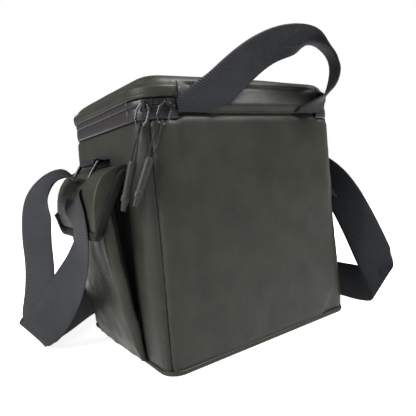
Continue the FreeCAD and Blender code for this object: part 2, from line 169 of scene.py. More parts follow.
def sweep(name, path, profile, finish, closed=False, up=(0, 0, 1)):
    # profile points are (out, along up) about each path point, in millimetres
    path = [Vector(p) for p in path]
    count = len(path)
    rows = []
    for i, here in enumerate(path):
        before = path[i - 1] if closed or i else here
        after = path[(i + 1) % count] if closed or i < count - 1 else here
        along = (after - before).normalized()
        out = along.cross(Vector(up)).normalized()
        lift = out.cross(along)
        rows.append([here + out * a + lift * b for a, b in profile])
    return loft(name, rows, finish, capStart=not closed, capEnd=not closed, wrapRows=closed)


def roundProfile(wide, tall, steps=10):
    turns = [2 * pi * k / steps for k in range(steps)]
    return [(cos(a) * wide / 2, sin(a) * tall / 2) for a in turns]


def settle(piece, body, slotName, *replaced):
    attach(piece, body)
    if replaced:
        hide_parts(*replaced)
    return piece


def joinUp(tree, looks, tone, unevenness, relief):
    # tone runs between the two colours, unevenness between the two roughnesses
    shader = tree.nodes["Principled BSDF"]
    dark, light = looks["colours"]
    smoothest, roughest = looks["roughness"]
    colour = addNode(tree, "ShaderNodeMix", {
        "data_type": "RGBA", 6: toLinear(dark), 7: toLinear(light)}, {0: tone})
    rough = addNode(tree, "ShaderNodeMapRange", {
        "From Min": 0.3, "From Max": 0.7, "To Min": smoothest, "To Max": roughest}, {"Value": unevenness})
    tree.links.new(colour.outputs[2], shader.inputs["Base Color"])
    tree.links.new(rough.outputs[0], shader.inputs["Roughness"])
    tree.links.new(relief.outputs[0], shader.inputs["Normal"])
    return shader


def clothFinish(name, looks):
    # looks: ribs are (direction, mm pitch, depth), grain and creases (mm size, depth);
    # toneRibs is how far the ribs show in the colour, wander how unevenly they run
    finish = bpy.data.materials.new(name)
    finish.use_nodes = True
    tree = finish.node_tree
    place = addNode(tree, "ShaderNodeTexCoord")
    source = (place, looks.get("follow", "Object"))
    ribs = []
    for direction, pitch, share in looks["ribs"]:
        ribs.append((addNode(tree, "ShaderNodeTexWave", {
            "wave_type": "BANDS", "bands_direction": direction, "Scale": 0.314 / (pitch * mm),
            "Distortion": looks.get("wander", 0.6), "Detail": 1.0, "Detail Scale": 2.0},
            {"Vector": source}), share))
    grainSize, grainDepth = looks["grain"]
    creaseSize, creaseDepth = looks["creases"]
    grain = addNode(tree, "ShaderNodeTexNoise", {"Scale": 1 / (grainSize * mm), "Detail": 3.0},
                    {"Vector": source})
    creases = addNode(tree, "ShaderNodeTexNoise", {
        "Scale": 1 / (creaseSize * mm), "Detail": 4.0, "Roughness": 0.55}, {"Vector": (place, "Object")})
    height = addNode(tree, "ShaderNodeMath", {"operation": "MULTIPLY", 1: grainDepth}, {0: (grain, "Fac")})
    for wave, share in ribs:
        height = addNode(tree, "ShaderNodeMath", {"operation": "MULTIPLY_ADD", 1: share},
                         {0: (wave, "Fac"), 2: (height, 0)})
    height = addNode(tree, "ShaderNodeMath", {
        "operation": "MULTIPLY_ADD", 1: creaseDepth}, {0: (creases, "Fac"), 2: (height, 0)})
    relief = addNode(tree, "ShaderNodeBump", {"Strength": 1.0, "Distance": mm}, {"Height": (height, 0)})
    tone = addNode(tree, "ShaderNodeMath", {"operation": "MULTIPLY_ADD", 1: looks.get("toneRibs", 0.3)},
                   {0: (ribs[0][0] if ribs else grain, "Fac"), 2: (creases, "Fac")})
    tone = addNode(tree, "ShaderNodeMapRange", {"From Min": 0.35, "From Max": 0.95}, {"Value": (tone, 0)})
    shader = joinUp(tree, looks, (tone, 0), (grain, "Fac"), relief)
    shader.inputs["Sheen Weight"].default_value = looks.get("sheen", 0.0)
    shader.inputs["Sheen Roughness"].default_value = 0.5
    shader.inputs["IOR"].default_value = looks.get("ior", 1.38)
    return finish


# coated polyester twill: a satin skin with broad soft highlights over faint weave lines
coatedTwill = clothFinish("coatedTwill", {
    "colours": ("#191a15", "#24251f"), "ribs": [("Z", 1.3, 0.035), ("DIAGONAL", 1.9, 0.02)],
    "grain": (0.7, 0.05), "creases": (26, 0.9), "roughness": (0.4, 0.52), "toneRibs": 0.12, "ior": 1.23})
# the same coated twill, gathered: more and finer creases
gatheredTwill = clothFinish("gatheredTwill", {
    "colours": ("#1b1c16", "#272821"), "ribs": [("Z", 1.3, 0.035)], "grain": (0.7, 0.05),
    "creases": (17, 1.1), "roughness": (0.4, 0.52), "toneRibs": 0.12, "ior": 1.23})
# painted shade for the deep pleats in the pocket sides: a matt sheet much darker than the shell, standing in
# for their shadow
paintedShadeCloth = clothFinish("paintedShadeCloth", {
    "colours": ("#060606", "#10100f"), "ribs": [("Z", 1.3, 0.035)], "grain": (0.7, 0.08),
    "creases": (17, 0.8), "roughness": (0.7, 0.85), "toneRibs": 0.12, "ior": 1.15})
# film-coated zipper tape: smoother and a little warmer than the shell
zipperFilm = clothFinish("zipperFilm", {
    "colours": ("#151314", "#201d1e"), "ribs": [("Z", 2.6, 0.03)], "grain": (0.8, 0.05),
    "creases": (9, 0.5), "roughness": (0.34, 0.46), "toneRibs": 0.15, "ior": 1.3})
# ribbed polyester webbing: its 1.2 mm crosswise ribs are drawn at 2.4, to catch light
ribbedWebbing = clothFinish("ribbedWebbing", {
    "colours": ("#07080b", "#14161a"), "ribs": [("Y", 2.4, 0.16), ("X", 1.2, 0.06)], "grain": (0.5, 0.08),
    "creases": (20, 0.2), "roughness": (0.5, 0.68), "follow": "UV", "toneRibs": 0.5, "wander": 0.3,
    "ior": 1.25})
# grosgrain edge tape: matt, fine cross ribs; its 0.8 mm ribs are drawn at 1.4
grosgrain = clothFinish("grosgrain", {
    "colours": ("#090a09", "#141413"), "ribs": [("DIAGONAL", 1.4, 0.12)], "grain": (0.6, 0.1),
    "creases": (12, 0.3), "roughness": (0.6, 0.8), "toneRibs": 0.35, "ior": 1.2})
# brushed knit lining: soft, light-scattering nap
brushedKnit = clothFinish("brushedKnit", {
    "colours": ("#505154", "#66676b"), "ribs": [("X", 1.6, 0.05), ("Z", 1.6, 0.05)], "grain": (0.9, 0.22),
    "creases": (30, 0.7), "roughness": (0.8, 0.95), "sheen": 0.5, "toneRibs": 0.2})
# hook and loop: a dense fuzzy pile, almost no shine
loopPile = clothFinish("loopPile", {
    "colours": ("#0e0e0e", "#242424"), "ribs": [], "grain": (1.1, 0.7),
    "creases": (3, 0.5), "roughness": (0.8, 0.95), "sheen": 0.4, "toneRibs": 0.7})
# bonded nylon sewing thread: thin, slightly glossy, a shade lighter than the cloth
nylonThread = clothFinish("nylonThread", {
    "colours": ("#141512", "#24251f"), "ribs": [("DIAGONAL", 0.5, 0.05)], "grain": (0.4, 0.04),
    "creases": (8, 0.05), "roughness": (0.4, 0.55)})
# braided polyester cord: diagonal plaits
braidedCord = clothFinish("braidedCord", {
    "colours": ("#08080a", "#18181a"), "ribs": [("DIAGONAL", 0.9, 0.18), ("Z", 1.1, 0.1)],
    "grain": (0.4, 0.05), "creases": (10, 0.05), "roughness": (0.5, 0.65), "ior": 1.25, "toneRibs": 0.6})
# nylon coil teeth: moulded, dull gloss
nylonCoil = clothFinish("nylonCoil", {
    "colours": ("#121213", "#222223"), "ribs": [], "grain": (1.0, 0.05),
    "creases": (12, 0.05), "roughness": (0.35, 0.45)})


def hardFinish(name, looks):
    finish = bpy.data.materials.new(name)
    finish.use_nodes = True
    tree = finish.node_tree
    place = addNode(tree, "ShaderNodeTexCoord")
    wear = addNode(tree, "ShaderNodeTexNoise", {
        "Scale": 1 / (looks["wear"] * mm), "Detail": 5.0}, {"Vector": (place, "Object")})
    fine = addNode(tree, "ShaderNodeTexNoise", {
        "Scale": 1 / (looks["grain"][0] * mm), "Detail": 2.0}, {"Vector": (place, "Object")})
    relief = addNode(tree, "ShaderNodeBump", {"Strength": 1.0, "Distance": looks["grain"][1] * mm},
                     {"Height": (fine, "Fac")})
    shader = joinUp(tree, looks, (wear, "Fac"), (wear, "Fac"), relief)
    shader.inputs["Metallic"].default_value = looks["metallic"]
    shader.inputs["IOR"].default_value = looks.get("ior", 1.45)
    return finish


# black nickel plate: dark mirror with bright streaks of the lights
blackNickel = hardFinish("blackNickel", {
    "colours": ("#262627", "#4a4a4c"), "wear": 8,
    "grain": (2.0, 0.004), "roughness": (0.2, 0.34), "metallic": 1.0})
# black lacquer on die-cast zinc: dark gloss, softened where it is handled
lacqueredZinc = hardFinish("lacqueredZinc", {
    "colours": ("#1c1c1d", "#3c3c3e"), "wear": 5,
    "grain": (1.5, 0.006), "roughness": (0.24, 0.4), "metallic": 0.85})
# moulded thermoplastic rubber grip: fine spark-eroded grain, soft shine
mouldedGrip = hardFinish("mouldedGrip", {
    "colours": ("#141412", "#20201c"), "wear": 12,
    "grain": (0.5, 0.03), "roughness": (0.42, 0.58), "metallic": 0.0, "ior": 1.28})
# moulded acetal adjuster: smooth black with a light satin
mouldedAcetal = hardFinish("mouldedAcetal", {
    "colours": ("#151516", "#212122"), "wear": 20,
    "grain": (0.6, 0.05), "roughness": (0.34, 0.44), "metallic": 0.0})
print("finishes made")

# the padded body: millimetres, as everywhere below
body = {
    "halfX": 136.0, "halfY": 110.0, "radius": 30.0, "footRadius": 18.0,
    "puff": {"back": 3.6, "right": 3.2, "front": 5.0, "left": 3.2},
    "seamDepth": 2.2, "seamWidth": 2.6, "wrinkle": 0.8, "cloth": 1.2,
    # where the handle's sewn ends press through, and the slack cloth at the lower corner
    "endsX": 80.0, "endsHalf": 20.0, "endsOut": 1.1, "endsDent": 0.6, "endsHeights": (205, 244),
    "slackIn": 1.5, "slackOut": 0.9, "slackHeights": (60, 110),
}
perSide, perCorner = 44, 16
sideNames = ("back", "right", "front", "left")


def planLoop():
    # places round the plan: side, share along its straight part or through the corner after it
    places = []
    for k, side in enumerate(sideNames):
        places += [(k, side, "straight", i / perSide) for i in range(perSide)]
        places += [(k, side, "corner", i / perCorner) for i in range(perCorner)]
    return places


def planPoint(place, halfX, halfY, radius):
    # point, outward direction, and distance from the nearest corner seam
    k, side, part, share = place
    corners = [(-1, -1), (1, -1), (1, 1), (-1, 1)]
    cx, cy = halfX - radius, halfY - radius
    start, end = (Vector((corners[i % 4][0] * cx, corners[i % 4][1] * cy)) for i in (k, k + 1))
    facing = radians(-90 + 90 * k)
    half = body["radius"] * pi / 4
    if part == "straight":
        out = Vector((cos(facing), sin(facing)))
        length = (end - start).length
        return start.lerp(end, share) + out * radius, out, min(share, 1 - share) * length + half
    angle = facing + share * pi / 2
    out = Vector((cos(angle), sin(angle)))
    return end + out * radius, out, abs(share - 0.5) * 2 * half


def planPoints(inset, radius):
    # every place round the plan, so far inside the block
    for place in planLoop():
        yield place, *planPoint(place, body["halfX"] - inset, body["halfY"] - inset, radius)


def panelOf(place):
    k, side, part, share = place
    return sideNames[(k + 1) % 4] if part == "corner" and share > 0.5 else side


def acrossPanel(place, point):
    return point.x / body["halfX"] if panelOf(place) in ("back", "front") else point.y / body["halfY"]


def bodyOut(place, flat, z, seam):
    # how far the padded cloth stands out of the plain block at one spot
    panel = panelOf(place)
    u, v = acrossPanel(place, flat), (z - 127) / 127
    rise = body["puff"][panel] * max(0.0, 1 - u ** 4) * max(0.0, 1 - abs(v) ** 3)
    spot = (flat.x, flat.y, z)
    fold = body["wrinkle"] * (wobble(spot, 70) + 0.5 * wobble(spot, 30, 3))
    pucker = 0.7 * wobble((flat.x, flat.y, z * 3.0), 24, 5) * bell(seam, 12)
    out = rise + fold * smooth(0, 25, seam) + pucker - body["seamDepth"] * bell(seam, body["seamWidth"])
    if panel == "back":
        for sign in (-1, 1):
            near = abs(flat.x - sign * body["endsX"]) - body["endsHalf"]
            out += body["endsOut"] * (1 - smooth(-1.5, 1.5, near)) * smooth(*body["endsHeights"], z)
            out -= body["endsDent"] * bell(near, 2.5) * smooth(*body["endsHeights"], z)
        corner = (flat.x - 88) * 0.84 - (z - 8) * 0.54     # across the fold, from its crease
        out -= body["slackIn"] * smooth(-2, 6, corner) * (1 - smooth(*body["slackHeights"], z))
        out += body["slackOut"] * bell(flat.x - 62, 14) * bell(z - 95, 45)
    return out


def bodyRow(z, extra=0.0, lift=0.0):
    radius = mix(body["footRadius"], body["radius"], smooth(0, 150, z))
    row = []
    for place, flat, out, seam in planPoints(0, radius):
        push = bodyOut(place, flat, z, seam) + extra
        raised = lift * (1 - smooth(92, 100, abs(flat.x))) if flat.y < -105 else 0.0
        row.append((flat.x + out.x * push, flat.y + out.y * push, z + raised))
    return row


heights = [4.0, 5.0, 6.5, 8.5] + [11 + i * (238 - 11) / 58 for i in range(59)]
heights += [241, 244, 247, 249.5, 251.5, 253, 254]
rows = []
for scale, z in ((0.05, 0.7), (0.5, 0.7), (0.86, 0.7), (0.97, 1.2), (0.992, 2.4)):
    rows.append([(x * scale, y * scale, z) for x, y, _ in bodyRow(4.0)])
for z in heights:
    curl = 3.4 * smooth(244, 254, z) ** 2 + 1.2 * (1 - smooth(4, 12, z))
    rows.append(bodyRow(z, -curl, 3.7 * smooth(225, 254, z)))
bodyShell = thicken(loft("bodyShell", rows, coatedTwill, capStart=True), body["cloth"])
walls = ("back", "front", "left", "right", "base")
settle(bodyShell, "bag_body", "shell_fabric", *[wall + "_panel" for wall in walls],
       *[wall + "_padding" for wall in walls], "base_board", "sewn_webbing_ends")

# the lining: the same plan, inside the foam, down to a padded floor
lining = {"inset": 11.0, "floor": 13.4, "top": 252.5, "radius": 19.0, "cloth": 0.9}
rows = []
for z in [253.6] + [lining["top"] - i * (lining["top"] - lining["floor"] - 6) / 26 for i in range(27)]:
    row = []
    for place, flat, out, seam in planPoints(lining["inset"], lining["radius"]):
        slack = 0.7 * wobble((flat.x, flat.y, z), 45, 8) + (6.0 if z > 253 else 0)
        row.append((flat.x + out.x * slack, flat.y + out.y * slack, z))
    rows.append(row)
for scale, z in ((0.97, 15.2), (0.9, 14.2), (0.6, 13.8), (0.3, 14.0), (0.03, 14.0)):
    shrunk = [(x * scale, y * scale) for x, y, _ in rows[10]]
    rows.append([(x, y, z + 0.3 * wobble((x, y, 0), 40, 2)) for x, y in shrunk])
bodyLining = thicken(loft("bodyLining", rows, brushedKnit, capEnd=True), lining["cloth"], 1.0)
settle(bodyLining, "bag_body", "lining", "liner")

# rolled strips round the foot and the mouth
def planPath(inset, z, radius):
    return [(flat.x, flat.y, z) for place, flat, out, seam in planPoints(inset, radius)]


footPath = planPath(1.2, 2.9, body["footRadius"])
footRoll = sweep("footRoll", footPath, roundProfile(4.4, 5.4, 10), coatedTwill, closed=True)
settle(footRoll, "bag_body", "binding", "base_binding")
mouthRoll = sweep("mouthRoll", planPath(6.2, 253.2, 25), roundProfile(7.6, 3.0, 12), grosgrain, closed=True)
settle(mouthRoll, "bag_body", "binding")

# sewn seams: a sunk cord of cloth and a run of stitches beside it
def distances(path):
    marks = [0.0]
    for a, b in zip(path, path[1:]):
        marks.append(marks[-1] + (b - a).length)
    return marks


def stitchRun(name, path, bodyName, slotName, length=3.0, between=1.2, thick=0.28):
    path = [Vector(p) for p in path]
    points, faces, on, marks = [], [], 0.0, distances(path)

    def at(distance):
        for i, (low, high) in enumerate(zip(marks, marks[1:])):
            if distance <= high:
                return path[i].lerp(path[i + 1], (distance - low) / max(high - low, 1e-6))
        return path[-1]

    while on + length < marks[-1]:
        start, end = at(on), at(on + length)
        along = (end - start).normalized()
        one = along.cross(Vector((0.31, 0.52, 0.79))).normalized()
        two = along.cross(one)
        first = len(points)
        for share, size in ((0, 0.35), (0.25, 1.0), (0.75, 1.0), (1, 0.35)):
            here = start.lerp(end, share)
            turns = [k * pi / 3 for k in range(6)]
            points += [here + (one * cos(a) + two * sin(a)) * thick * size for a in turns]
        faces += [tuple(first + i for i in face) for face in gridFaces(4, 6, True)]
        faces += [tuple(first + k for k in range(5, -1, -1)), tuple(first + 18 + k for k in range(6))]
        on += length + between
    return settle(outward(makeMesh(name, points, faces, nylonThread)), bodyName, slotName)


def cornerSeamPath(signX, signY, low, high, beside, proud):
    path = []
    for i in range(61):
        z = mix(low, high, i / 60)
        radius = mix(body["footRadius"], body["radius"], smooth(0, 150, z))
        middle = Vector((signX * (body["halfX"] - radius), signY * (body["halfY"] - radius)))
        angle = atan2(signY, signX) + beside / radius
        reach = radius + proud
        path.append((middle.x + cos(angle) * reach, middle.y + sin(angle) * reach, z))
    return path


for signX in (-1, 1):
    for signY in (-1, 1):
        tag = ("Back" if signY < 0 else "Front") + ("Left" if signX < 0 else "Right")
        seamPath = cornerSeamPath(signX, signY, 5, 252, 0, -1.5)
        cord = sweep("seamWelt" + tag, seamPath, roundProfile(1.9, 1.9, 8), grosgrain, up=(signX, signY, 0))
        settle(cord, "bag_body", "binding")
        for beside in (-4.4, 4.4):
            row = "A" if beside < 0 else "B"
            seamPath = cornerSeamPath(signX, signY, 6, 248, beside, 0.4)
            stitchRun("seamStitch" + tag + row, seamPath, "bag_body", "binding")
print("body made")

# the zipper, from its lower tape up
zipper = {
    "low": 254.0, "lowTop": 265.2, "highLow": 265.7, "high": 273.4, "endX": 98.0, "endY": -75.0,
    "pitch": 2.4, "toothOut": 0.6, "toothHalfRun": 0.7, "toothHalfRise": 1.05,
}


def zipPath(inset, z, fixedEnds=False, sign=1):
    # left side, front and right side, or one of the two fixed back corners
    order = [Vector(p) for p in planPath(inset, z, body["radius"])]
    side, rear = body["halfX"] - inset, -body["halfY"] + inset
    if fixedEnds:
        keep = [p for p in order if p.y <= zipper["endY"] - 1 and p.x * sign >= zipper["endX"] + 1]
        keep += [Vector((sign * side, zipper["endY"], z)), Vector((sign * zipper["endX"], rear, z))]
        keep.sort(key=lambda p: atan2(p.y + 80, (p.x - sign * 106) * sign))
        return keep
    keep = [p for p in order if p.y > zipper["endY"] + 1]
    keep += [Vector((s * side, zipper["endY"], z)) for s in (-1, 1)]
    keep.sort(key=lambda p: atan2(p.x, p.y + 40))
    return keep


def tapeStrip(name, path, low, high, bow, bodyName, *replaced):
    rows = []
    for share in [i / 6 for i in range(7)]:
        z = mix(low, high, share)
        row = []
        for p in path:
            out = Vector((p.x, p.y, 0)).normalized()
            push = bow * 4 * share * (1 - share) + 0.12 * wobble((p.x, p.y, z * 2), 6, 9)
            row.append((p.x + out.x * push, p.y + out.y * push, z))
        rows.append(row)
    strip = thicken(loft(name, rows, zipperFilm, wrap=False), 0.8, 0.0)
    return settle(strip, bodyName, "zipper_tape", *replaced)


def teeth(name, path, z, bodyName, *replaced):
    points, faces, i, marks = [], [], 0, distances(path)
    for n in range(int(marks[-1] / zipper["pitch"])):
        distance = (n + 0.5) * zipper["pitch"]
        while marks[i + 1] < distance:
            i += 1
        here = path[i].lerp(path[i + 1], (distance - marks[i]) / (marks[i + 1] - marks[i]))
        along = (path[i + 1] - path[i]).normalized()
        out = Vector((along.y, -along.x, 0))
        first = len(points)
        for k in range(8):
            a = 2 * pi * k / 8
            for end in (-1, 1):
                sideways = out * cos(a) * zipper["toothOut"] + along * end * zipper["toothHalfRun"]
                rise = sin(a) * zipper["toothHalfRise"]
                points.append((here.x + sideways.x, here.y + sideways.y, z + rise))
        faces += [(first + 2 * k, first + 2 * k + 1, first + (2 * k + 3) % 16, first + (2 * k + 2) % 16)
                  for k in range(8)]
        faces += [tuple(first + 2 * k for k in range(8)), tuple(first + 2 * k + 1 for k in range(7, -1, -1))]
    return settle(outward(makeMesh(name, points, faces, nylonCoil)), bodyName, "zipper_teeth", *replaced)


run = zipPath(1.0, 0)
tapeStrip("lowerTape", run, zipper["low"] - 2, zipper["lowTop"], 0.8, "bag_body", "lower_zipper_tape")
tapeStrip("upperTape", run, zipper["highLow"], zipper["high"], 0.6, "lid", "upper_zipper_tape")
teeth("lowerTeeth", zipPath(2.3, 0), 264.0, "bag_body", "lower_zipper_teeth")
teeth("upperTeeth", zipPath(2.3, 0), 266.7, "lid", "upper_zipper_teeth")
for word, sign in sides.items():
    ends = zipPath(1.0, 0, True, sign)
    tapeStrip(word + "EndTapeLow", ends, zipper["low"] - 2, zipper["lowTop"], 0.8, "bag_body",
              word + "_zipper_end")
    tapeStrip(word + "EndTapeHigh", ends, zipper["highLow"], zipper["high"] - 1.6, 0.4, "bag_body")
    teeth(word + "EndTeethLow", zipPath(2.3, 0, True, sign), 264.0, "bag_body")
    teeth(word + "EndTeethHigh", zipPath(2.3, 0, True, sign), 266.7, "bag_body")
print("zipper made")

# the lid
lid = {
    "low": 273.0, "backLow": 258.8, "edge": 287.5, "crown": 15.0, "puff": 1.8, "endX": 98.5,
    "slopeX": 78.0, "slopeFoot": 4.5, "slope": 9.5,        # the back face leans in from foot to rim
    "roll": 4.6, "backRoll": 1.0, "rollHeight": 7.0,       # how the rim turns in
    "tuck": 2.2, "backTuck": 4.0, "tuckHeight": 4.0, "backTuckHeight": 10.0,     # and the lower edge
}


def lidOut(flat, z, low):
    atBack = low < lid["low"]
    middle = 1 - smooth(lid["slopeX"], lid["endX"], abs(flat.x)) if atBack else 0.0
    seam = min(abs(z - lid["edge"] + 3.2), 50)
    v = (z - low) / (lid["edge"] - low)
    rise = lid["puff"] * max(0.0, 1 - (2 * v - 1) ** 4)
    if atBack:
        rise = mix(rise, lid["slopeFoot"] - lid["slope"] * smooth(0.1, 1.0, v), middle)
    fold = 0.45 * wobble((flat.x, flat.y, z * 1.6), 32, 12) + 0.5 * wobble((flat.x, flat.y, z), 80, 4)
    atRim = smooth(lid["edge"] - lid["rollHeight"], lid["edge"], z)
    rolled = mix(lid["roll"], lid["backRoll"], middle) * atRim ** 2
    tuck, height = (lid["backTuck"], lid["backTuckHeight"]) if atBack else (lid["tuck"], lid["tuckHeight"])
    tucked = tuck * (1 - smooth(low, low + height, z)) ** 2
    return rise + fold - rolled - 0.9 * bell(seam, 1.3) - tucked


def lidTop(x, y):
    # crown of the padded top, from the rim to the middle
    u, v = abs(x) / body["halfX"], abs(y) / body["halfY"]
    dome = max(0.0, 1 - u ** 3) * max(0.0, 1 - v ** 3)
    return lid["edge"] + lid["crown"] * (0.5 + 0.5 * dome) + 0.7 * wobble((x, y, 0), 60, 6)


rows = []
steps = 18
for i in range(steps + 1):
    row = []
    for place, flat, out, seam in planPoints(0, body["radius"]):
        atBack = panelOf(place) == "back" and abs(flat.x) < lid["endX"]
        low = lid["backLow"] if atBack else lid["low"]
        z = mix(low, lid["edge"], i / steps)
        push = lidOut(flat, z, low)
        row.append((flat.x + out.x * push, flat.y + out.y * push, z))
    rows.append(row)
rimSteps = [(5.4, 0.16), (6.6, 0.34), (8.6, 0.56), (11.5, 0.78), (15.5, 0.93)]
for inset, share in rimSteps + [(inset, 1.0) for inset in (20, 28, 40, 56, 74, 92, 104)]:
    row = []
    for place, flat, out, seam in planPoints(inset, max(1.0, body["radius"] - inset)):
        top = lidTop(flat.x, flat.y)
        row.append((flat.x, flat.y, mix(lid["edge"] + 0.6, top, share)))
    rows.append(row)
lidShell = thicken(loft("lidShell", rows, coatedTwill, capEnd=True), body["cloth"])
settle(lidShell, "lid", "shell_fabric", "lid_top_panel", "lid_side_band", "lid_padding",
       "hinge_panel_upper", "lid_edge_piping")

rows = []
for inset, z in ((2.4, 273.4), (3.0, 277), (4.0, 279.4), (8, 280.2), (30, 279.6), (60, 279.2), (100, 279.0)):
    row = []
    for place, flat, out, seam in planPoints(inset, max(1.0, body["radius"] - inset)):
        low = -13.6 if panelOf(place) == "back" and abs(flat.x) < lid["endX"] - 1 and inset < 2.5 else 0
        row.append((flat.x, flat.y, z + low + 0.6 * wobble((flat.x, flat.y, 0), 40, 3)))
    rows.append(row)
lidLining = thicken(loft("lidLining", rows, brushedKnit, capEnd=True), 0.8)
settle(lidLining, "lid", "lining", "lid_liner")

# rolled lip over the zipper, round the sides and front, and on to the fixed corners
lipPath = [Vector(p) for p in planPath(-0.1, 274.6, body["radius"])]
backPlaces = [i for i, place in enumerate(planLoop())
              if panelOf(place) == "back" and abs(lipPath[i].x) < lid["endX"]]
firstPlace, afterBack = backPlaces[0], backPlaces[-1] + 1
lipRun = lipPath[afterBack:] + lipPath[:firstPlace]
lip = sweep("lidLip", lipRun, roundProfile(2.7, 4.4, 10), coatedTwill)
settle(lip, "lid", "binding", "lid_lip")
for sign in (-1, 1):
    drop = [(sign * (lid["endX"] + 0.2 + 0.5 * wobble((z, 0, 0), 6, 2)),
             -110.7 - 1.4 * smooth(272, 279, z) + 1.0 * smooth(284, 288, z), z) for z in range(287, 258, -2)]
    name = "lidEndWelt" + ("Left" if sign < 0 else "Right")
    settle(sweep(name, drop, roundProfile(1.3, 1.8, 8), grosgrain, up=(0, -1, 0)), "lid", "binding")
rim = [Vector(p) for p in planPath(0.1, 286.2, body["radius"])]
stitchRun("lidEdgeStitch", rim + rim[:1], "lid", "shell_fabric", 3.4, 1.3, 0.3)

# fabric fold that joins body and lid behind
rows = []
for z in [252 + i * 0.9 for i in range(12)]:
    tuck = 2.6 + 1.2 * bell(z - 257.5, 2.4)
    across = [-97 + i * 194 / 60 for i in range(61)]
    rows.append([(x, -110.2 + tuck + 0.1 * wobble((x, 0, z), 9, 2), z) for x in across])
foldPiece = outward(makeMesh("hingeFold", [p for r in rows for p in r], gridFaces(12, 61), coatedTwill))
thicken(foldPiece, 1.0, 0.0)
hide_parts("hinge_panel_lower")
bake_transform(foldPiece)
print("lid made")


def eased(line):
    # each place but the two ends moves towards its neighbours
    return line[:1] + [tuple(p * 0.25 + q * 0.5 + r * 0.25 for p, q, r in zip(a, b, c))
                       for a, b, c in zip(line, line[1:], line[2:])] + line[-1:]


def spline(stations, perRun, loose=()):
    # a smooth curve through the stations, with the direction across carried along
    found = []
    count = len(stations)
    for i in range(count - 1):
        p = [Vector(stations[min(max(i + k, 0), count - 1)][0]) for k in (-1, 0, 1, 2)]
        q = [Vector(stations[min(max(i + k, 0), count - 1)][1]).normalized() for k in (-1, 0, 1, 2)]
        for j in range(perRun):
            t = j / perRun
            w = (0.5 * (-t + 2 * t * t - t ** 3), 0.5 * (2 - 5 * t * t + 3 * t ** 3),
                 0.5 * (t + 4 * t * t - 3 * t ** 3), 0.5 * (-t * t + t ** 3))
            found.append(tuple(sum((a * b for a, b in zip(line, w)), Vector()) for line in (p, q)))
    found.append((Vector(stations[-1][0]), Vector(stations[-1][1]).normalized()))
    for _ in range(4):
        found = eased(found)
    for first, last in loose:     # wide turns, eased further
        for _ in range(30):
            found[first * perRun:last * perRun] = eased(found[first * perRun:last * perRun])
    return found


def webbing(name, stations, wide, thick, perRun=8, endRun=0, loose=(), folds=()):
    # near a sewn end, over endRun steps, the ribs stay in line with the seam
    line = spline(stations, perRun, loose)
    shape = []
    for share in (-1, -0.97, -0.9, -0.6, -0.3, 0, 0.3, 0.6, 0.9, 0.97, 1):
        edge = abs(share)
        fullness = 1.0 if edge < 0.88 else 1.12 if edge < 0.95 else 0.75 if edge < 0.99 else 0.2
        shape.append((share, 0.5 * fullness))
    profile = shape + [(a, -b) for a, b in reversed(shape)]
    points, uvs, far = [], [], 0.0
    for i, (here, side) in enumerate(line):
        before, after = line[max(i - 1, 0)][0], line[min(i + 1, len(line) - 1)][0]
        along = (after - before).normalized()
        out = along.cross(side).normalized()
        square = along.cross(side.normalized()).length
        free = smooth(endRun * 0.5, endRun, min(i, len(line) - 1 - i)) if endRun else 1.0
        spread = max(square, 0.6) if endRun and i < len(line) / 2 else 1.0
        for first, last in folds:     # where it is folded flat, sections stay in line with the crease
            begun = smooth(first * perRun - 6, first * perRun, i)
            ended = smooth(last * perRun, last * perRun + 6, i)
            free *= 1 - begun * (1 - ended)
        across = (side.normalized() / spread).lerp(out.cross(along), free)
        if i:
            far += (here - line[i - 1][0]).length
        for a, b in profile:
            points.append(here + across * (a * wide / 2) + out * (b * thick))
            uvs.append((a * wide / 2 * mm, far * mm))
    columns = len(profile)
    faces = gridFaces(len(line), columns, True)
    faces += [tuple(range(columns)), tuple(range(len(points) - 1, len(points) - columns - 1, -1))]
    piece = outward(makeMesh(name, points, faces, ribbedWebbing, uvs))
    print(name, "is", round(far), "mm long")
    return piece


# the handle, as shares of its half span, lean and rise, with the direction across the webbing
handleStations = [
    (-1.0, 0.0, 0.005, (1, 0, 0)), (-0.93, 0.2, 0.1, (1, 0, -0.1)),
    (-0.62, 0.5, 0.3, (0.93, 0, -0.37)), (-0.31, 0.75, 0.54, (0.86, 0.08, -0.5)),
    (0.03, 0.9, 0.75, (0.68, 0.28, -0.63)), (0.41, 1.0, 0.905, (0.48, 0.42, -0.6)),
    (0.8, 1.1, 0.965, (0.54, 0.5, -0.4)), (1.01, 1.2, 0.97, (0.62, 0.62, -0.08)),
    (1.18, 1.3, 0.92, (0.62, 0.66, 0.08)), (1.32, 1.35, 0.84, (0.57, 0.68, 0.06)),
    (1.41, 1.4, 0.73, (0.53, 0.71, 0.08)), (1.44, 1.4, 0.59, (0.48, 0.74, 0.1)),
    (1.38, 1.35, 0.39, (0.52, 0.74, 0.1)), (1.27, 1.1, 0.22, (0.66, 0.66, 0.05)),
    (1.12, 0.45, 0.1, (1, 0.15, 0)), (1.0, 0.0, 0.005, (1, 0, 0)),
]
handle = {
    "centre": 80.0, "back": -111.5, "low": 258.0, "rise": 82.0, "lean": 13.0, "wide": 39.0, "thick": 2.2,
}
stations = [
    ((handle["centre"] * x, handle["back"] - handle["lean"] * out, handle["low"] + handle["rise"] * up), side)
    for x, out, up, side in handleStations]
carryHandle = webbing("carryHandle", stations, handle["wide"], handle["thick"], perRun=9, endRun=24,
                      loose=[(2, 14)])
settle(carryHandle, "handle", "webbing", "carry_handle")

